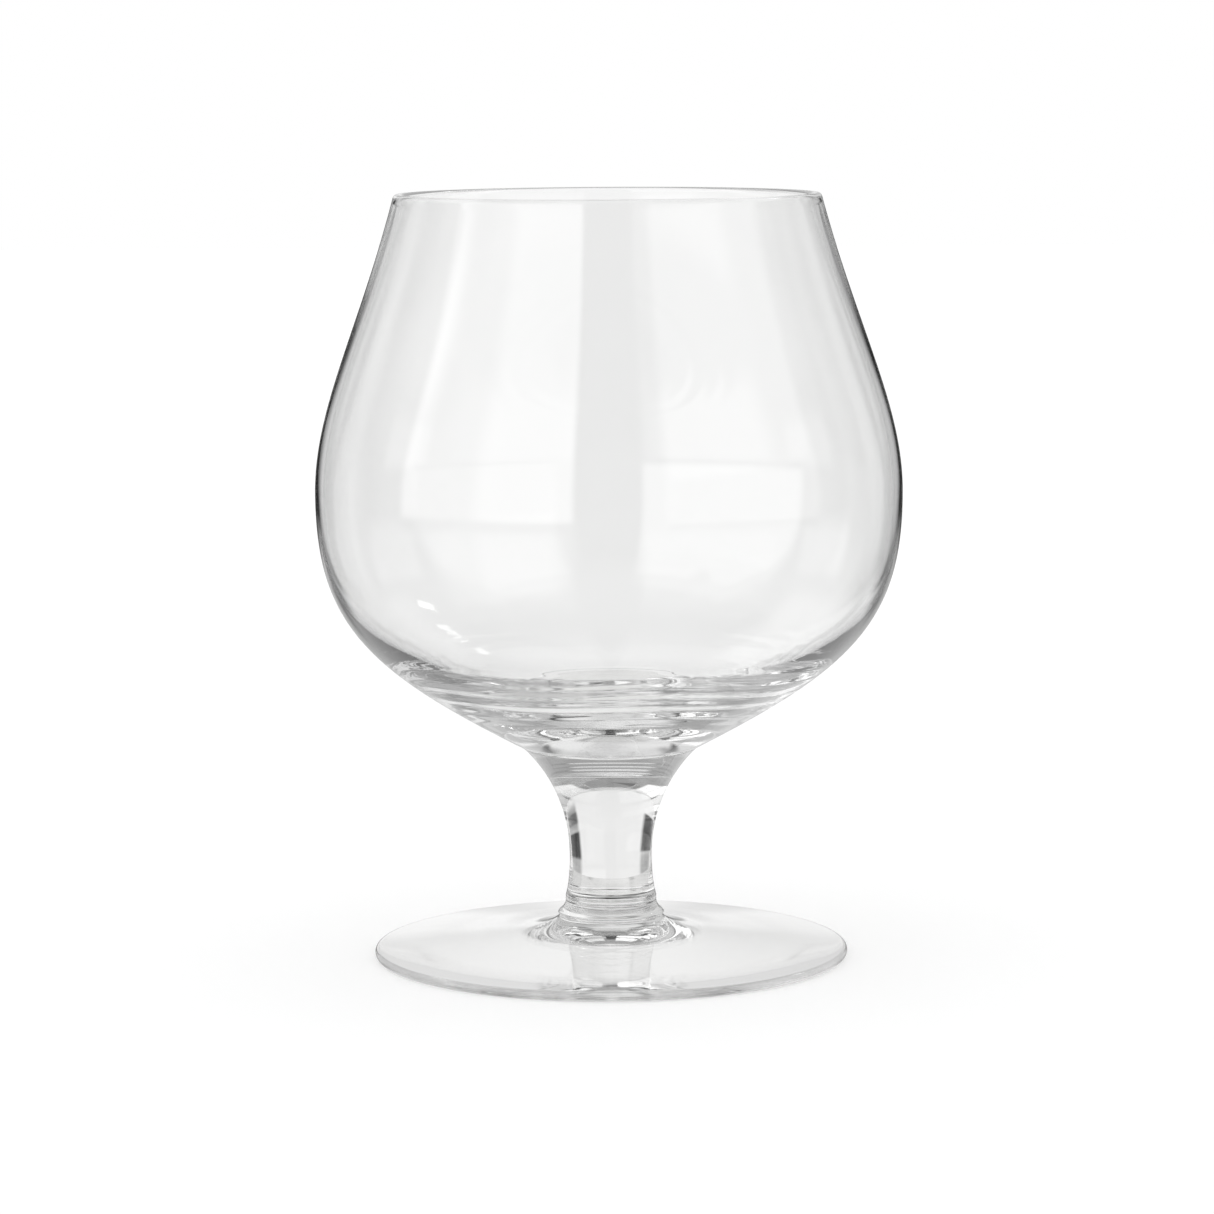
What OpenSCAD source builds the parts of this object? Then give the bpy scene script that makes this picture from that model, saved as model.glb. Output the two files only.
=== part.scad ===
// Brandy snifter: a blown bowl on a short waisted stem, with a round foot.
// The three pieces are clear glass, and each meets the next on a flat round face.

/* [Bowl] */
// Height of the bowl, from its joint with the stem to the top of the lip
bowl_h = 99.6; // [88:0.1:112]
// Outer diameter at the widest place
belly_d = 105.4; // [94:0.1:118]
// Height of the widest place above the joint with the stem
belly_h = 46.3; // [40:0.1:52]
// Outer diameter of the mouth, where the lip starts to round over
mouth_d = 76.5; // [66:0.1:86]
// Slope of the wall where it leaves the joint, from level
base_slope = 28; // [22:1:34]
// Lean of the wall at the mouth, from upright
mouth_lean = 15; // [8:1:20]
// Thickness of the wall round the widest place
wall = 1.4; // [1:0.1:2]
// Thickness of the rounded lip
lip_t = 1.8; // [1.2:0.1:2.4]
// Thickness that the wall grows to at the joint, under the floor
base_wall = 5; // [3.6:0.1:6.4]
// Thickness of the level floor over the joint
floor_t = 7.2; // [5:0.1:9]

/* [Stem] */
// Length of the stem between its two joints
stem_l = 27.7; // [22:0.1:48]
// Diameter at the narrowest place
waist_d = 14.9; // [12:0.1:17]
// Height of the narrowest place above the foot
waist_h = 7.6; // [5:0.1:12]
// Diameter of the joint with the bowl
bowl_joint_d = 31.8; // [26:0.1:36]
// Slope of the flare where it meets the bowl, from level
flare_slope = 43; // [36:1:52]
// Diameter of the joint with the foot
foot_joint_d = 16.5; // [15:0.1:19]

/* [Foot] */
// Height of the foot, from the table to its joint with the stem
foot_h = 10.5; // [9:0.1:13]
// Diameter of the foot
foot_d = 85.8; // [74:0.1:96]
// Thickness of the rounded edge
edge_t = 1.8; // [1.4:0.1:2.6]
// Slope of the upper face, from level
disc_slope = 6; // [3:0.5:7]
// Height of the collar under the stem
collar_h = 3; // [2.2:0.1:3.6]
// Width by which the collar stands out past the joint at its lower edge
collar_step = 1.35; // [0.7:0.05:1.8]
// Width of the curve that runs out from the collar to the upper face
sweep_w = 7.5; // [5:0.1:12]
// Width of the level ring that rests on the table
rest_w = 1.2; // [0.8:0.1:2.4]
// Slope at which the hollow leaves that ring, from level
hollow_slope = 1.5; // [0.5:0.5:3]
// Height by which the middle of the hollow stays below the inner end of the upper face
hollow_drop = 1.2; // [0.8:0.1:1.8]
// Radius of the rounded edges at the seam and under the collar
seam_r = 0.3; // [0.2:0.05:0.5]

/* [Hidden] */
$fn = 180;

// Where along the lower wall the bend from the level floor ends
bend_share = 0.25;
// How far the floor runs level, of the way to its bend
level_share = 0.45;
// How far the wall's curve holds its direction: out of the joint, under and over the belly, under the mouth
joint_hold_share = 0.87;
under_belly_share = 0.5;
over_belly_share = 0.29;
mouth_hold_share = 0.46;
// The same for the stem: at the bowl, above the waist, below the waist, at the foot
flare_hold_share = 0.33;
over_waist_share = 0.43;
under_waist_share = 0.27;
ankle_hold_share = 0.28;
// Lean of the stem where it meets the foot, from upright
ankle_lean = 16;
// The same for the foot: down the collar, at its lower edge, into and out of the sweep, under the middle,
// next to the ring
collar_hold_share = 0.5;
collar_edge_share = 0.2;
sweep_in_share = 0.42;
sweep_out_share = 0.55;
hollow_mid_share = 0.3;
hollow_rim_share = 0.3;
// Lean of the collar at its lower edge, from upright
collar_lean = 25;
// Power that keeps the lip's swelling next to the mouth, and the base's next to the joint
lip_power = 6;
base_power = 2.5;
// Steps along a long curve, a short one and a small rounded edge
long_steps = 26;
short_steps = 14;
round_steps = 8;

belly_r = belly_d / 2;
mouth_r = mouth_d / 2;
waist_r = waist_d / 2;
bowl_joint_r = bowl_joint_d / 2;
foot_joint_r = foot_joint_d / 2;
foot_r = foot_d / 2;
edge_r = edge_t / 2;
// Height over the joint at which the outer wall reaches the lip
mouth_h = bowl_h - lip_t / 2 * (1 - sin(mouth_lean));

// A cubic curve through p[0] and p[3], drawn towards p[1] and p[2]: its point and its direction at s
function point_at(p, s) =
    pow(1 - s, 3) * p[0] + 3 * s * pow(1 - s, 2) * p[1] + 3 * s * s * (1 - s) * p[2] + pow(s, 3) * p[3];
function towards(p, s) =
    let (d = pow(1 - s, 2) * (p[1] - p[0]) + 2 * s * (1 - s) * (p[2] - p[1]) + s * s * (p[3] - p[2]))
    d / norm(d);
function curve(p, steps) = [for (i = [0 : steps]) point_at(p, i / steps)];

// The point that lies a thickness t inside the curve p, square to it
function inside(p, s, t) =
    let (u = towards(p, s)) point_at(p, s) + t * [-u[1], u[0]];

// A round stretch about a centre, from one angle to another
function arc(centre, r, from, to) = [
    for (i = [0 : round_steps])
        let (a = from + (to - from) * i / round_steps) centre + r * [cos(a), sin(a)]
];

function reversed(list) = [for (i = [len(list) - 1 : -1 : 0]) list[i]];

// Outer wall of the bowl: from the joint out to the belly, and from the belly in to the mouth
lower_wall = [
    [bowl_joint_r, 0],
    [bowl_joint_r, 0] + joint_hold_share * (belly_r - bowl_joint_r) * [cos(base_slope), sin(base_slope)],
    [belly_r, belly_h * (1 - under_belly_share)],
    [belly_r, belly_h]
];
upper_wall = [
    [belly_r, belly_h],
    [belly_r, belly_h + over_belly_share * (mouth_h - belly_h)],
    [mouth_r, mouth_h] + mouth_hold_share * (mouth_h - belly_h) * [sin(mouth_lean), -cos(mouth_lean)],
    [mouth_r, mouth_h]
];

function lower_t(s) = wall + (base_wall - wall) * pow(1 - s, base_power);
function upper_t(s) = wall + (lip_t - wall) * pow(s, lip_power);

// Inner wall: the outer one moved in by the thickness, and a level floor that bends up into it
inner_lower = [
    for (i = [0 : long_steps])
        let (s = bend_share + (1 - bend_share) * i / long_steps) inside(lower_wall, s, lower_t(s))
];
inner_upper = [
    for (i = [1 : short_steps]) let (s = i / short_steps) inside(upper_wall, s, upper_t(s))
];
bend_end = inner_lower[0];
bend_dir = towards(lower_wall, bend_share);
bend_corner = bend_end - (bend_end[1] - floor_t) / bend_dir[1] * bend_dir;
floor_curve = [[0, floor_t], [level_share * bend_corner[0], floor_t], bend_corner, bend_end];

module bowl() {
    lip_centre = [mouth_r, mouth_h] - lip_t / 2 * [cos(mouth_lean), sin(mouth_lean)];
    color([0.88, 0.93, 0.94, 0.45])
        translate([0, 0, foot_h + stem_l])
            rotate_extrude()
                polygon(concat(
                    [[0, 0]],
                    curve(lower_wall, long_steps),
                    curve(upper_wall, short_steps),
                    arc(lip_centre, lip_t / 2, mouth_lean, mouth_lean + 180),
                    reversed(inner_upper),
                    reversed(inner_lower),
                    reversed(curve(floor_curve, short_steps))
                ));
}

// Stem: in from the bowl to the waist, and out a little to a rounded edge on the foot
flare = [
    [bowl_joint_r, stem_l],
    [bowl_joint_r, stem_l] - flare_hold_share * (stem_l - waist_h) * [cos(flare_slope), sin(flare_slope)],
    [waist_r, waist_h + over_waist_share * (stem_l - waist_h)],
    [waist_r, waist_h]
];
ankle = [
    [waist_r, waist_h],
    [waist_r, waist_h * (1 - under_waist_share)],
    [foot_joint_r, seam_r] + ankle_hold_share * waist_h * [-sin(ankle_lean), cos(ankle_lean)],
    [foot_joint_r, seam_r]
];

module stem() {
    color([0.84, 0.9, 0.92, 0.55])
        translate([0, 0, foot_h])
            rotate_extrude()
                polygon(concat(
                    [[0, stem_l]],
                    curve(flare, long_steps),
                    curve(ankle, short_steps),
                    arc([foot_joint_r - seam_r, seam_r], seam_r, 0, -90),
                    [[0, 0]]
                ));
}

// Foot: down the collar, out along the sweep to the sloping face, round the edge and back under
collar_r = foot_joint_r + collar_step;
collar_foot = foot_h - collar_h;
face_r = foot_r - edge_r;
sweep_r = collar_r + sweep_w;
sweep_z = edge_t + (face_r - sweep_r) * tan(disc_slope);
collar = [
    [foot_joint_r, foot_h - seam_r],
    [foot_joint_r, foot_h - seam_r - collar_hold_share * collar_h],
    [collar_r, collar_foot + seam_r] + collar_edge_share * collar_h * [-tan(collar_lean), 1],
    [collar_r, collar_foot + seam_r]
];
sweep = [
    [collar_r - seam_r, collar_foot],
    [collar_r, collar_foot - sweep_in_share * (collar_foot - sweep_z)],
    [sweep_r - sweep_out_share * sweep_w, sweep_z + sweep_out_share * sweep_w * tan(disc_slope)],
    [sweep_r, sweep_z]
];
// The hollow leaves the ring nearly level, then follows the upper face, and levels out under the middle
rest_r = foot_r - edge_r - rest_w;
hollow_h = sweep_z - hollow_drop;
hollow = [
    [rest_r, 0],
    [rest_r * (1 - hollow_rim_share), rest_r * hollow_rim_share * tan(hollow_slope)],
    [rest_r * hollow_mid_share, hollow_h],
    [0, hollow_h]
];

module foot() {
    color([0.86, 0.92, 0.93, 0.5])
        rotate_extrude()
            polygon(concat(
                [[0, foot_h]],
                arc([foot_joint_r - seam_r, foot_h - seam_r], seam_r, 90, 0),
                curve(collar, round_steps),
                arc([collar_r - seam_r, collar_foot + seam_r], seam_r, 0, -90),
                curve(sweep, short_steps),
                arc([face_r, edge_r], edge_r, 90, -90),
                curve(hollow, short_steps)
            ));
}

bowl();
stem();
foot();
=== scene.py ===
import math
import bpy
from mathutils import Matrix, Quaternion, Vector


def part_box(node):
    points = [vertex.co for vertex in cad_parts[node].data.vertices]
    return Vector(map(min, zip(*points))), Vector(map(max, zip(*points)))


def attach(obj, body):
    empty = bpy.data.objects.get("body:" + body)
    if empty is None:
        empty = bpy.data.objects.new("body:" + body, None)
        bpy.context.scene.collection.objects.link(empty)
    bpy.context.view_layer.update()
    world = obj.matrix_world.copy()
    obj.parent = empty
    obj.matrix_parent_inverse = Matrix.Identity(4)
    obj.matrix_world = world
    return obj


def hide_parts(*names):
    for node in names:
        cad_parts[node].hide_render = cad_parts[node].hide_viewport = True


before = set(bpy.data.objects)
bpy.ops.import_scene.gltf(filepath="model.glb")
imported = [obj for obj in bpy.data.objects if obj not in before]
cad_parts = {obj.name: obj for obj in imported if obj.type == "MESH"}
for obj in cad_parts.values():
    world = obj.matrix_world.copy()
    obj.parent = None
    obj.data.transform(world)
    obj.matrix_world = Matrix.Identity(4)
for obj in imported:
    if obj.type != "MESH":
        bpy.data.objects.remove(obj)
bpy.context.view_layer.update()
mm = 0.001
print("frame loaded")

cameraSet = {
    "distance": 799.4 * mm,
    "elevation": 7.085,  # degrees above level
    "aimHeight": 63.45 * mm,
    "sidestep": -0.45 * mm,
    "roll": -0.3,
    "lens": 131.5,
    "sensor": 36.0,
    "near": 0.01,
    "far": 50,
}


def makeCamera():
    c = cameraSet
    data = bpy.data.cameras.new("photoCamera")
    data.lens, data.sensor_width = c["lens"], c["sensor"]
    data.clip_start, data.clip_end = c["near"], c["far"]
    cam = bpy.data.objects.new("photoCamera", data)
    e = math.radians(c["elevation"])
    back = Vector((0, -math.cos(e), math.sin(e)))
    cam.location = Vector((c["sidestep"], 0, c["aimHeight"])) + back * c["distance"]
    roll = Quaternion((0, 0, 1), math.radians(c["roll"]))
    cam.rotation_euler = ((-back).to_track_quat("-Z", "Y") @ roll).to_euler()
    bpy.context.scene.collection.objects.link(cam)
    bpy.context.scene.camera = cam


makeCamera()
print("camera set")


# curves that the three outlines are drawn with
def cubicPoint(p, s):
    w = ((1 - s) ** 3, 3 * s * (1 - s) ** 2, 3 * s * s * (1 - s), s ** 3)
    return Vector((sum(k * q[0] for k, q in zip(w, p)), sum(k * q[1] for k, q in zip(w, p))))


def cubicDirection(p, s):
    w = ((1 - s) ** 2, 2 * s * (1 - s), s * s)
    d = [(p[i + 1][0] - p[i][0], p[i + 1][1] - p[i][1]) for i in range(3)]
    return Vector((sum(k * q[0] for k, q in zip(w, d)), sum(k * q[1] for k, q in zip(w, d)))).normalized()


def cubic(p, steps, first=0):
    return [cubicPoint(p, i / steps) for i in range(first, steps + 1)]


def arc(centre, radius, start, end, steps):
    turns = [math.radians(start + (end - start) * i / steps) for i in range(steps + 1)]
    return [Vector((centre[0] + radius * math.cos(t), centre[1] + radius * math.sin(t))) for t in turns]


def slope(degrees, length=1.0):
    return Vector((math.cos(math.radians(degrees)), math.sin(math.radians(degrees)))) * length


def grey(shade):
    return shade, shade, shade, 1


# clear glass: soft waves of the fire polish, faint rings round the axis, and wiped smears
glassSet = {
    "bowl": {"tint": (0.976, 0.977, 0.975), "thinTint": (0.983, 0.984, 0.982), "ior": 1.5, "waveScale": 90,
             "ringScale": 320, "ringShare": 0.22, "depth": 0.011 * mm, "smearScale": 75, "smeared": 0.022,
             "leak": 0.5},
    "stem": {"tint": (0.878, 0.878, 0.874), "thinTint": (0.893, 0.893, 0.889), "ior": 1.5, "waveScale": 130,
             "ringScale": 420, "ringShare": 0.25, "depth": 0.005 * mm, "smearScale": 110, "smeared": 0.018,
             "leak": 0.8},
    "foot": {"tint": (0.908, 0.908, 0.902), "thinTint": (0.92, 0.92, 0.914), "ior": 1.5, "waveScale": 100,
             "ringScale": 260, "ringShare": 0.3, "depth": 0.009 * mm, "smearScale": 80, "smeared": 0.022,
             "leak": 0.97},
}
polishSet = {
    "waveDetail": 1.5,
    "ringDetail": 2,
    "ringSqueeze": (0.06, 0.06, 1),  # sideways, so that the noise runs in rings
    "smearDetail": 4,
    "smearFrom": 0.56,
    "smearTo": 0.74,
}
shadowClear = 0.96  # share of the studio's light that each surface lets through to the floor
leakDepth = 22.5  # light that has met more surfaces than this leaks out


def makeFirePolish():
    group = bpy.data.node_groups.new("firePolish", "ShaderNodeTree")
    for name in ("Wave Scale", "Ring Scale", "Ring Share", "Smear Scale", "Smeared Roughness"):
        group.interface.new_socket(name, in_out="INPUT", socket_type="NodeSocketFloat")
    for name in ("Tint", "Thin Tint"):
        group.interface.new_socket(name, in_out="INPUT", socket_type="NodeSocketColor")
    group.interface.new_socket("Color", in_out="OUTPUT", socket_type="NodeSocketColor")
    group.interface.new_socket("Roughness", in_out="OUTPUT", socket_type="NodeSocketFloat")
    group.interface.new_socket("Height", in_out="OUTPUT", socket_type="NodeSocketFloat")
    nodes, links = group.nodes, group.links
    given = nodes.new("NodeGroupInput").outputs
    result = nodes.new("NodeGroupOutput").inputs
    place = nodes.new("ShaderNodeTexCoord").outputs["Object"]

    def noise(scale, vector, detail):
        node = nodes.new("ShaderNodeTexNoise")
        node.inputs["Detail"].default_value = detail
        links.new(scale, node.inputs["Scale"])
        links.new(vector, node.inputs["Vector"])
        return node.outputs["Fac"]

    wave = noise(given["Wave Scale"], place, polishSet["waveDetail"])
    flat = nodes.new("ShaderNodeVectorMath")
    flat.operation = "MULTIPLY"
    flat.inputs[1].default_value = polishSet["ringSqueeze"]
    links.new(place, flat.inputs[0])
    rings = noise(given["Ring Scale"], flat.outputs[0], polishSet["ringDetail"])
    height = nodes.new("ShaderNodeMix")
    links.new(given["Ring Share"], height.inputs["Factor"])
    links.new(wave, height.inputs["A"])
    links.new(rings, height.inputs["B"])
    links.new(height.outputs["Result"], result["Height"])

    smear = nodes.new("ShaderNodeMapRange")
    smear.inputs["From Min"].default_value = polishSet["smearFrom"]
    smear.inputs["From Max"].default_value = polishSet["smearTo"]
    links.new(noise(given["Smear Scale"], place, polishSet["smearDetail"]), smear.inputs["Value"])
    links.new(given["Smeared Roughness"], smear.inputs["To Max"])
    links.new(smear.outputs["Result"], result["Roughness"])

    tint = nodes.new("ShaderNodeMix")
    tint.data_type = "RGBA"
    links.new(wave, tint.inputs["Factor"])
    links.new(given["Tint"], tint.inputs["A"])
    links.new(given["Thin Tint"], tint.inputs["B"])
    links.new(tint.outputs["Result"], result["Color"])
    return group


firePolish = makeFirePolish()


def makeGlass(name):
    g = glassSet[name]
    mat = bpy.data.materials.new(name + "Glass")
    mat.use_nodes = True
    nodes, links = mat.node_tree.nodes, mat.node_tree.links
    nodes.clear()
    polish = nodes.new("ShaderNodeGroup")
    polish.node_tree = firePolish
    for socket, value in {"Wave Scale": g["waveScale"], "Ring Scale": g["ringScale"],
                          "Ring Share": g["ringShare"], "Smear Scale": g["smearScale"],
                          "Smeared Roughness": g["smeared"], "Tint": (*g["tint"], 1),
                          "Thin Tint": (*g["thinTint"], 1)}.items():
        polish.inputs[socket].default_value = value
    bump = nodes.new("ShaderNodeBump")
    bump.inputs["Strength"].default_value = 1
    bump.inputs["Distance"].default_value = g["depth"]
    links.new(polish.outputs["Height"], bump.inputs["Height"])
    glass = nodes.new("ShaderNodeBsdfPrincipled")
    glass.inputs["Transmission Weight"].default_value = 1
    glass.inputs["IOR"].default_value = g["ior"]
    links.new(polish.outputs["Color"], glass.inputs["Base Color"])
    links.new(polish.outputs["Roughness"], glass.inputs["Roughness"])
    links.new(bump.outputs["Normal"], glass.inputs["Normal"])
    clear = nodes.new("ShaderNodeBsdfTransparent")  # for shadow rays: the glass dims the floor only a little
    clear.inputs["Color"].default_value = grey(shadowClear)
    path = nodes.new("ShaderNodeLightPath")
    mix = nodes.new("ShaderNodeMixShader")
    links.new(path.outputs["Is Shadow Ray"], mix.inputs[0])
    links.new(glass.outputs[0], mix.inputs[1])
    links.new(clear.outputs[0], mix.inputs[2])
    leak = nodes.new("ShaderNodeBsdfTransparent")  # light that runs on and on inside leaks out dimmer
    leak.inputs["Color"].default_value = grey(g["leak"])
    deep = nodes.new("ShaderNodeMath")
    deep.operation = "GREATER_THAN"
    links.new(path.outputs["Ray Depth"], deep.inputs[0])
    deep.inputs[1].default_value = leakDepth
    mixLeak = nodes.new("ShaderNodeMixShader")
    links.new(deep.outputs[0], mixLeak.inputs[0])
    links.new(mix.outputs[0], mixLeak.inputs[1])
    links.new(leak.outputs[0], mixLeak.inputs[2])
    out = nodes.new("ShaderNodeOutputMaterial")
    links.new(mixLeak.outputs[0], out.inputs["Surface"])
    return mat


def makeFusedFace():
    mat = bpy.data.materials.new("fusedFace")
    mat.use_nodes = True
    nodes = mat.node_tree.nodes
    nodes.clear()
    out = nodes.new("ShaderNodeOutputMaterial")
    clear = nodes.new("ShaderNodeBsdfTransparent")
    mat.node_tree.links.new(clear.outputs[0], out.inputs["Surface"])
    return mat


fusedFace = makeFusedFace()  # inside the glass, where two pieces are fused, nothing is seen
print("glass made")


onAxis = 1e-4 * mm  # a point nearer to the axis than this is a pole


def revolve(name, outline, joints, segments, ripples=None):
    verts, rings = [], []
    for i, (r, z) in enumerate(outline):
        if r < onAxis:
            rings.append([len(verts)])
            verts.append((0, 0, z))
            continue
        rings.append(list(range(len(verts), len(verts) + segments)))
        for k in range(segments):
            turn = 2 * math.pi * k / segments
            out, up = (0, 0) if ripples is None else ripples(i, turn)
            verts.append(((r + out) * math.cos(turn), (r + out) * math.sin(turn), z + up))
    faces, fused = [], []
    for i in range(len(rings) - 1):
        a, b = rings[i], rings[i + 1]
        for k in range(segments):
            n = (k + 1) % segments
            if len(a) == 1:
                faces.append((a[0], b[n], b[k]))
            elif len(b) == 1:
                faces.append((a[k], a[n], b[0]))
            else:
                faces.append((a[k], a[n], b[n], b[k]))
            fused.append(i in joints)
    mesh = bpy.data.meshes.new(name)
    mesh.from_pydata(verts, [], faces)
    mesh.materials.append(makeGlass(name))
    mesh.materials.append(fusedFace)
    for poly, flat in zip(mesh.polygons, fused):
        poly.use_smooth = not flat
        poly.material_index = 1 if flat else 0
    mesh.validate()
    mesh.update()
    obj = bpy.data.objects.new(name + "Piece", mesh)
    bpy.context.scene.collection.objects.link(obj)
    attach(obj, "root")
    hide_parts(name)


low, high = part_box("bowl")
bowlSet = {
    "base": low[2],
    "height": high[2] - low[2],
    "bellyRadius": (high[0] - low[0]) / 2,
    "bellyHeight": 46.3 * mm,
    "mouthRadius": 38.25 * mm,
    "jointRadius": 15.9 * mm,
    "baseSlope": 28,
    "mouthLean": 15,
    "wall": 1.4 * mm,
    "lip": 1.8 * mm,
    "baseWall": 5 * mm,
    "floor": 7.2 * mm,
    # how far each curve holds its direction, and where the level floor bends up into the wall
    "jointHold": 0.87,
    "underBelly": 0.5,
    "overBelly": 0.29,
    "mouthHold": 0.46,
    "bend": 0.25,
    "level": 0.45,
    "basePower": 2.5,
    "lipPower": 6,
    # how finely the outline and the round are divided
    "wallSteps": 110,
    "upperSteps": 60,
    "lipSteps": 14,
    "floorSteps": 50,
    "segments": 360,
    # tooling ripples inside the thick base: they start on the floor, and die out up the wall
    "rippleStart": -12 * mm,
    "rippleReach": 12 * mm,
    "ripples": (
        {"depth": 0.065 * mm, "spacing": 3.9 * mm, "shift": 0.4 * mm, "sway": 0.6 * mm, "lobes": (2, 5)},
        {"depth": 0.05 * mm, "spacing": 6.3 * mm, "shift": 2 * mm, "sway": 1.1 * mm, "lobes": (1, 3)},
    ),
}


def bowlOutline():
    b = bowlSet
    mouthHeight = b["height"] - b["lip"] / 2 * (1 - math.sin(math.radians(b["mouthLean"])))
    belly, bellyHeight = b["bellyRadius"], b["bellyHeight"]
    steps, upperSteps = b["wallSteps"], b["upperSteps"]
    start, mouth = Vector((b["jointRadius"], 0)), Vector((b["mouthRadius"], mouthHeight))
    rise = mouthHeight - bellyHeight
    lower = [start, start + slope(b["baseSlope"], b["jointHold"] * (belly - start[0])),
             Vector((belly, bellyHeight * (1 - b["underBelly"]))), Vector((belly, bellyHeight))]
    upper = [lower[3], Vector((belly, bellyHeight + b["overBelly"] * rise)),
             mouth - slope(90 + b["mouthLean"], b["mouthHold"] * rise), mouth]

    def inner(curve, s, thickness):
        d = cubicDirection(curve, s)
        return cubicPoint(curve, s) + Vector((-d[1], d[0])) * thickness

    innerLower = []
    for i in range(steps + 1):
        s = b["bend"] + (1 - b["bend"]) * i / steps
        thickness = b["wall"] + (b["baseWall"] - b["wall"]) * (1 - s) ** b["basePower"]
        innerLower.append(inner(lower, s, thickness))
    innerUpper = []
    for i in range(1, upperSteps + 1):
        s = i / upperSteps
        innerUpper.append(inner(upper, s, b["wall"] + (b["lip"] - b["wall"]) * s ** b["lipPower"]))
    d = cubicDirection(lower, b["bend"])
    corner = innerLower[0] - d * ((innerLower[0][1] - b["floor"]) / d[1])
    floor = [Vector((0, b["floor"])), Vector((b["level"] * corner[0], b["floor"])), corner, innerLower[0]]
    lipCentre = mouth - slope(b["mouthLean"], b["lip"] / 2)
    outside = [Vector((0, 0))] + cubic(lower, steps) + cubic(upper, upperSteps, 1)
    outside += arc(lipCentre, b["lip"] / 2, b["mouthLean"], b["mouthLean"] + 180, b["lipSteps"])[1:]
    inside = innerUpper[::-1][1:] + innerLower[::-1][1:] + cubic(floor, b["floorSteps"])[::-1][1:]
    bendEnd = len(outside) + upperSteps - 1 + steps - 1
    return [(p[0], p[1] + b["base"]) for p in outside + inside], bendEnd


bowlPoints, bendEnd = bowlOutline()


def rippleField():
    b = bowlSet
    points = [Vector(p) for p in bowlPoints]
    travel = {bendEnd: 0.0}  # distance along the inside from where the floor's bend ends, up the wall
    for i in range(bendEnd - 1, -1, -1):
        travel[i] = travel[i + 1] + (points[i] - points[i + 1]).length
        if travel[i] > b["rippleReach"]:
            break
    for i in range(bendEnd + 1, len(points) - 1):
        travel[i] = travel[i - 1] - (points[i] - points[i - 1]).length

    def offset(i, turn):
        t = travel.get(i, b["rippleReach"])
        strength = min(1 - t / b["rippleReach"], 1 - t / b["rippleStart"])
        if strength <= 0:
            return 0, 0
        lift = 0
        for r in b["ripples"]:
            place = t + r["shift"] + r["sway"] * sum(math.sin(lobes * turn + lobes) for lobes in r["lobes"])
            lift += strength * r["depth"] * math.sin(2 * math.pi * place / r["spacing"])
        d = (points[i - 1] - points[i + 1]).normalized()
        return -d[1] * lift, d[0] * lift

    return offset


revolve("bowl", bowlPoints, {0}, bowlSet["segments"], rippleField())
print("bowl made")

low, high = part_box("stem")
stemSet = {
    "base": low[2],
    "length": high[2] - low[2],
    "topRadius": (high[0] - low[0]) / 2,
    "waistRadius": 7.45 * mm,
    "waistHeight": 7.6 * mm,
    "footRadius": 8.25 * mm,
    "flareSlope": 43,
    "ankleLean": 16,
    "round": 0.3 * mm,
    # how far the curves hold their direction
    "flareHold": 0.33,
    "overWaist": 0.43,
    "underWaist": 0.27,
    "ankleHold": 0.28,
    "flareSteps": 60,
    "ankleSteps": 30,
    "roundSteps": 8,
    "segments": 288,
}


def stemOutline():
    t = stemSet
    length, waist, waistHeight, edge = t["length"], t["waistRadius"], t["waistHeight"], t["round"]
    top, end = Vector((t["topRadius"], length)), Vector((t["footRadius"], edge))
    flare = [top, top - slope(t["flareSlope"], t["flareHold"] * (length - waistHeight)),
             Vector((waist, waistHeight + t["overWaist"] * (length - waistHeight))),
             Vector((waist, waistHeight))]
    ankle = [flare[3], Vector((waist, waistHeight * (1 - t["underWaist"]))),
             end + slope(90 + t["ankleLean"], t["ankleHold"] * waistHeight), end]
    points = [Vector((0, length))] + cubic(flare, t["flareSteps"]) + cubic(ankle, t["ankleSteps"], 1)
    points += arc((t["footRadius"] - edge, edge), edge, 0, -90, t["roundSteps"])[1:] + [Vector((0, 0))]
    return [(p[0], p[1] + t["base"]) for p in points][::-1]


stemPoints = stemOutline()
revolve("stem", stemPoints, {0, len(stemPoints) - 2}, stemSet["segments"])
print("stem made")

low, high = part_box("foot")
footSet = {
    "height": high[2],
    "radius": (high[0] - low[0]) / 2,
    "edge": 1.8 * mm,
    "slope": 6,
    "jointRadius": 8.25 * mm,
    "collarHeight": 3 * mm,
    "collarStep": 1.35 * mm,
    "collarLean": 25,
    "sweep": 7.5 * mm,
    "rest": 1.2 * mm,
    "hollowSlope": 1.5,
    "hollowDrop": 1.2 * mm,
    "round": 0.3 * mm,
    # how far the curves hold their direction
    "collarHold": 0.5,
    "collarEdge": 0.2,
    "sweepIn": 0.42,
    "sweepOut": 0.55,
    "hollowRim": 0.3,
    "hollowMid": 0.3,
    "roundSteps": 8,
    "collarSteps": 16,
    "sweepSteps": 40,
    "faceSteps": 30,
    "edgeSteps": 16,
    "hollowSteps": 50,
    "segments": 360,
}


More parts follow.
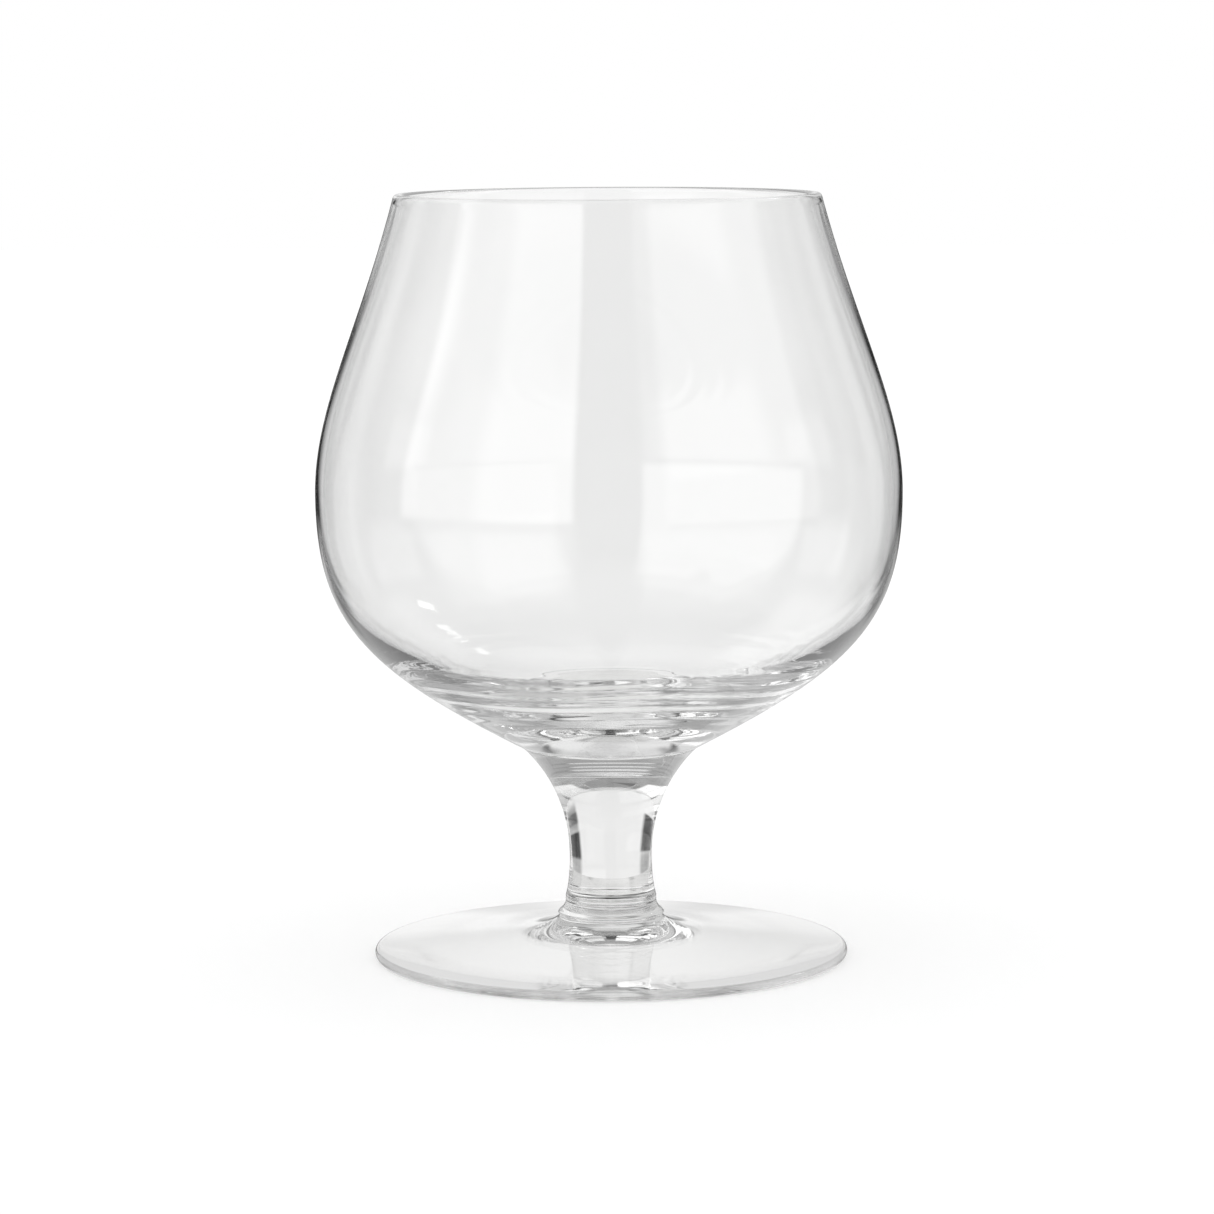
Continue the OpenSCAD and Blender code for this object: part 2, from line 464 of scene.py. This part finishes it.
def footOutline():
    f = footSet
    g, height, joint, roundSteps = f["round"], f["height"], f["jointRadius"], f["roundSteps"]
    collarRadius, collarFoot = joint + f["collarStep"], height - f["collarHeight"]
    faceRadius, rise = f["radius"] - f["edge"] / 2, math.tan(math.radians(f["slope"]))
    sweepRadius = collarRadius + f["sweep"]
    sweepHeight = f["edge"] + (faceRadius - sweepRadius) * rise
    collarEnd = Vector((collarRadius, collarFoot + g))
    flare = f["collarEdge"] * f["collarHeight"] * Vector((-math.tan(math.radians(f["collarLean"])), 1))
    collar = [Vector((joint, height - g)),
              Vector((joint, height - g - f["collarHold"] * f["collarHeight"])),
              collarEnd + flare, collarEnd]
    sweep = [Vector((collarRadius - g, collarFoot)),
             Vector((collarRadius, collarFoot - f["sweepIn"] * (collarFoot - sweepHeight))),
             Vector((sweepRadius - f["sweepOut"] * f["sweep"],
                     sweepHeight + f["sweepOut"] * f["sweep"] * rise)),
             Vector((sweepRadius, sweepHeight))]
    restRadius, hollowHeight = faceRadius - f["rest"], sweepHeight - f["hollowDrop"]
    hollow = [Vector((restRadius, 0)),
              Vector((restRadius * (1 - f["hollowRim"]),
                      restRadius * f["hollowRim"] * math.tan(math.radians(f["hollowSlope"])))),
              Vector((restRadius * f["hollowMid"], hollowHeight)), Vector((0, hollowHeight))]
    points = [Vector((0, height))] + arc((joint - g, height - g), g, 90, 0, roundSteps)
    points += cubic(collar, f["collarSteps"], 1)
    points += arc((collarRadius - g, collarFoot + g), g, 0, -90, roundSteps)[1:]
    points += cubic(sweep, f["sweepSteps"], 1)
    faceEnd, faceSteps = Vector((faceRadius, f["edge"])), f["faceSteps"]
    points += [sweep[3].lerp(faceEnd, i / faceSteps) for i in range(1, faceSteps + 1)]
    points += arc((faceRadius, f["edge"] / 2), f["edge"] / 2, 90, -90, f["edgeSteps"])[1:]
    points += cubic(hollow, f["hollowSteps"])
    return [(p[0], p[1]) for p in points][::-1]


footPoints = footOutline()
revolve("foot", footPoints, {len(footPoints) - 2}, footSet["segments"])
print("foot made")

studioSet = {
    "floorSize": 6.0,
    "floorDrop": 0.05 * mm,
    "floorShade": 0.85,
    "floorGlow": 0.2,
    "leakLight": 0.75,
    "bounces": 32,
    "reflectedFrom": 0.5,  # between no reflection and one
    "wallDepth": 3.5,  # 3: into a wall, back from its far side, and out; 4: through two walls
    "wallSpread": 0.6,
}

# What stands round the glass in the studio. Each panel: where (degrees round from the back, degrees up), its
# half width and height with the softness of their edges, and how bright it is. A pair stands "aside" to both
# sides of its middle, and "lean" slants it. A later panel covers the earlier ones.
plainPanel = dict(around=0, aside=0, lean=0, wide=200, softWide=1, up=0, tall=200, softTall=1, cut=100)
reflectedBase = 0.3
reflectedPanels = {
    "backdrop": dict(wide=19, softWide=3, light=0.72),
    "horizon": dict(wide=19, softWide=3, tall=9, softTall=2, light=1.0),
    "overBack": dict(wide=19, softWide=4, up=27, tall=12, softTall=10, light=0.9),
    "highBack": dict(wide=40, softWide=8, up=62, tall=10, softTall=8, light=0.28),
    "rightBack": dict(around=34, wide=27, softWide=8, up=9, tall=20, softTall=8, light=0.55),
    "leftBack": dict(around=-43, wide=20, softWide=3, up=-5, tall=26, softTall=8, light=0.67),
    "rightGap": dict(around=78, wide=20, softWide=4, up=4, tall=18, softTall=6, light=0.1),
    "tableLeft": dict(around=-52, wide=32, softWide=8, up=-42, tall=14, softTall=5, light=0.75),
    "tableRight": dict(around=60, wide=35, softWide=8, up=-50, tall=22, softTall=8, light=1.1),
    "lowLeft": dict(around=-26, wide=21, softWide=5, up=-27, tall=8, softTall=4, light=0.85),
    "lowRight": dict(around=27, wide=17, softWide=5, up=-27, tall=10, softTall=4, light=0.92),
    "frontTable": dict(around=180, wide=88, softWide=8, up=-90, tall=46, softTall=4, light=0.04),
    "nearTable": dict(up=-90, tall=26, softTall=8, light=0.5),
    "leftTable": dict(around=-134, wide=26, softWide=6, up=-22, tall=13, softTall=3, light=0.95),
    "rightTable": dict(around=140, wide=30, softWide=8, up=-22, tall=13, softTall=3, light=0.6),
    "tableSides": dict(aside=85, wide=13, softWide=2, up=-15, tall=7, softTall=3, light=0.75),
    "leftBox": dict(around=-130, wide=38, softWide=2, up=16, tall=22.5, softTall=2.2, light=1.5),
    "leftBoxTop": dict(around=-130, wide=35, softWide=3, up=48, tall=10, softTall=3, light=1.25),
    "leftLine": dict(around=-130, wide=38, softWide=1, up=-7.8, tall=1, softTall=0.8, light=0.3),
    "rightBox": dict(around=124, wide=33, softWide=3, up=26, tall=32, softTall=3, light=0.95),
    "rightBoxFoot": dict(around=124, wide=33, softWide=3, up=2, tall=9, softTall=2, light=0.6),
    "rightLine": dict(around=124, wide=33, softWide=1, up=-7.5, tall=0.8, softTall=0.5, light=0.2),
    "ceiling": dict(up=90, tall=29, softTall=4, light=0.35),
    "lamp": dict(around=46, wide=3.4, softWide=1, up=38, tall=2.6, softTall=0.8, light=4.5),
    "cameraGap": dict(around=180, wide=14, softWide=2, up=-30, tall=75, softTall=8, light=0.03),
    "backFlags": dict(aside=14.8, lean=0.85, wide=3, softWide=2.5, up=-1, tall=18.5, softTall=3, cut=7.5,
                      light=0.01),
    "backCore": dict(aside=10, wide=8, softWide=2, up=-3.5, tall=4.5, softTall=2, light=0.02),
}
# seen only by light that turns back inside a wall or runs through two, so that the bowl's edge shows
wallPanels = {
    "sideShade": dict(around=-112, wide=14, softWide=5, light=0.2),
}
straightBase = 1.0
straightPanels = {
    "flagFeet": dict(aside=48, wide=13, softWide=4, up=-14, tall=6, softTall=4, light=0.5),
    "leftFlagTop": dict(around=49, wide=14, softWide=3, up=12, tall=10, softTall=6, light=0.33),
    "leftFlagBar": dict(around=49, wide=14, softWide=3, up=11.5, tall=4, softTall=1, light=0.12),
    "leftFlag": dict(around=49, wide=14, softWide=3, up=-4.5, tall=7, softTall=1, light=0.03),
    "rightFlag": dict(around=-51, wide=16, softWide=4, up=3, tall=11, softTall=1, light=0.06),
    "farFlags": dict(around=135, aside=46, wide=10, softWide=3, up=-13, tall=12, softTall=2, light=0.06),
    "sideFlag": dict(around=-137, wide=10, softWide=3, up=4, tall=12, softTall=2, light=0.05),
}


def makeFloor():
    half = studioSet["floorSize"] / 2
    z = -studioSet["floorDrop"]
    mesh = bpy.data.meshes.new("floor")
    corners = [(-half, -half, z), (half, -half, z), (half, half, z), (-half, half, z)]
    mesh.from_pydata(corners, [], [(0, 1, 2, 3)])
    mat = bpy.data.materials.new("paleFloor")
    mat.use_nodes = True
    nodes, links = mat.node_tree.nodes, mat.node_tree.links
    nodes.clear()
    out = nodes.new("ShaderNodeOutputMaterial")
    matt = nodes.new("ShaderNodeBsdfDiffuse")
    matt.inputs["Color"].default_value = grey(studioSet["floorShade"])
    glow = nodes.new("ShaderNodeEmission")
    glow.inputs["Strength"].default_value = studioSet["floorGlow"]
    add = nodes.new("ShaderNodeAddShader")
    links.new(matt.outputs[0], add.inputs[0])
    links.new(glow.outputs[0], add.inputs[1])
    links.new(add.outputs[0], out.inputs["Surface"])
    mesh.materials.append(mat)
    obj = bpy.data.objects.new("floor", mesh)
    obj.visible_glossy = obj.visible_transmission = False  # the glass shows the white room below instead
    bpy.context.scene.collection.objects.link(obj)


makeFloor()
print("floor laid")


def putMath(nodes, links, kind, *values):
    node = nodes.new("ShaderNodeMath")
    node.operation = kind
    for socket, value in zip(node.inputs, values):
        if isinstance(value, (int, float)):
            socket.default_value = value
        else:
            links.new(value, socket)
    return node.outputs[0]


panelSockets = {"Centre": "around", "Aside": "aside", "Lean": "lean", "Wide": "wide", "Soft Wide": "softWide",
                "Height": "up", "Tall": "tall", "Soft Tall": "softTall", "Cut": "cut", "Panel Light": "light"}


def makePanelGroup():
    group = bpy.data.node_groups.new("studioPanel", "ShaderNodeTree")
    for name in ("Around", "Up", "Light", *panelSockets):
        group.interface.new_socket(name, in_out="INPUT", socket_type="NodeSocketFloat")
    group.interface.new_socket("Light", in_out="OUTPUT", socket_type="NodeSocketFloat")
    nodes, links = group.nodes, group.links
    given = nodes.new("NodeGroupInput").outputs

    def put(kind, *values):
        return putMath(nodes, links, kind, *values)

    def inside(distance, size, soft):
        node = nodes.new("ShaderNodeMapRange")
        node.interpolation_type = "SMOOTHSTEP"
        links.new(distance, node.inputs["Value"])
        links.new(put("SUBTRACT", size, soft), node.inputs["From Min"])
        links.new(put("ADD", size, soft), node.inputs["From Max"])
        node.inputs["To Min"].default_value, node.inputs["To Max"].default_value = 1, 0
        return node.outputs["Result"]

    rise = put("ABSOLUTE", put("SUBTRACT", given["Up"], given["Height"]))
    turn = put("ABSOLUTE", put("WRAP", put("SUBTRACT", given["Around"], given["Centre"]), 180, -180))
    turn = put("SUBTRACT", turn, put("MULTIPLY_ADD", rise, given["Lean"], given["Aside"]))
    mask = put("MULTIPLY", inside(put("ABSOLUTE", turn), given["Wide"], given["Soft Wide"]),
               inside(rise, given["Tall"], given["Soft Tall"]))
    mask = put("MULTIPLY", mask, put("LESS_THAN", given["Up"], given["Cut"]))
    change = put("SUBTRACT", given["Panel Light"], given["Light"])
    links.new(put("MULTIPLY_ADD", mask, change, given["Light"]), nodes.new("NodeGroupOutput").inputs["Light"])
    return group


def makeWorld():
    world = bpy.data.worlds.new("studio")
    world.use_nodes = True
    bpy.context.scene.world = world
    nodes, links = world.node_tree.nodes, world.node_tree.links
    nodes.clear()
    panelGroup = makePanelGroup()

    def put(kind, *values):
        return putMath(nodes, links, kind, *values)

    split = nodes.new("ShaderNodeSeparateXYZ")
    links.new(nodes.new("ShaderNodeTexCoord").outputs["Generated"], split.inputs[0])
    x, y, z = split.outputs
    around = put("DEGREES", put("ARCTAN2", x, y))
    up = put("DEGREES", put("ARCSINE", z))

    def room(base, panels):
        light = base
        for name, panel in panels.items():
            node = nodes.new("ShaderNodeGroup")
            node.node_tree, node.label = panelGroup, name
            links.new(around, node.inputs["Around"])
            links.new(up, node.inputs["Up"])
            if isinstance(light, (int, float)):
                node.inputs["Light"].default_value = light
            else:
                links.new(light, node.inputs["Light"])
            values = {**plainPanel, **panel}
            for socket, key in panelSockets.items():
                node.inputs[socket].default_value = values[key]
            light = node.outputs["Light"]
        return light

    # light that the glass has turned back comes from the room, and straight light from the backdrop
    path = nodes.new("ShaderNodeLightPath")
    reflected = put("GREATER_THAN", path.outputs["Glossy Depth"], studioSet["reflectedFrom"])
    straight, mirrored = room(straightBase, straightPanels), room(reflectedBase, reflectedPanels)
    seen = put("MULTIPLY_ADD", reflected, put("SUBTRACT", mirrored, straight), straight)
    inWall = put("COMPARE", path.outputs["Ray Depth"], studioSet["wallDepth"], studioSet["wallSpread"])
    seen = put("MULTIPLY_ADD", inWall, put("SUBTRACT", room(seen, wallPanels), seen), seen)
    leaked = put("GREATER_THAN", path.outputs["Ray Depth"], leakDepth)
    seen = put("MULTIPLY_ADD", leaked, put("SUBTRACT", studioSet["leakLight"], seen), seen)
    plain = put("MAXIMUM", path.outputs["Is Camera Ray"], path.outputs["Is Diffuse Ray"])
    strength = put("MULTIPLY_ADD", plain, put("SUBTRACT", 1, seen), seen)
    back = nodes.new("ShaderNodeBackground")
    back.inputs["Color"].default_value = (1, 1, 1, 1)
    links.new(strength, back.inputs["Strength"])
    out = nodes.new("ShaderNodeOutputWorld")
    links.new(back.outputs[0], out.inputs["Surface"])


makeWorld()
cycles = bpy.context.scene.cycles
cycles.max_bounces = cycles.transmission_bounces = cycles.glossy_bounces = studioSet["bounces"]
print("studio lit")

bpy.context.scene.view_settings.view_transform = "Standard"
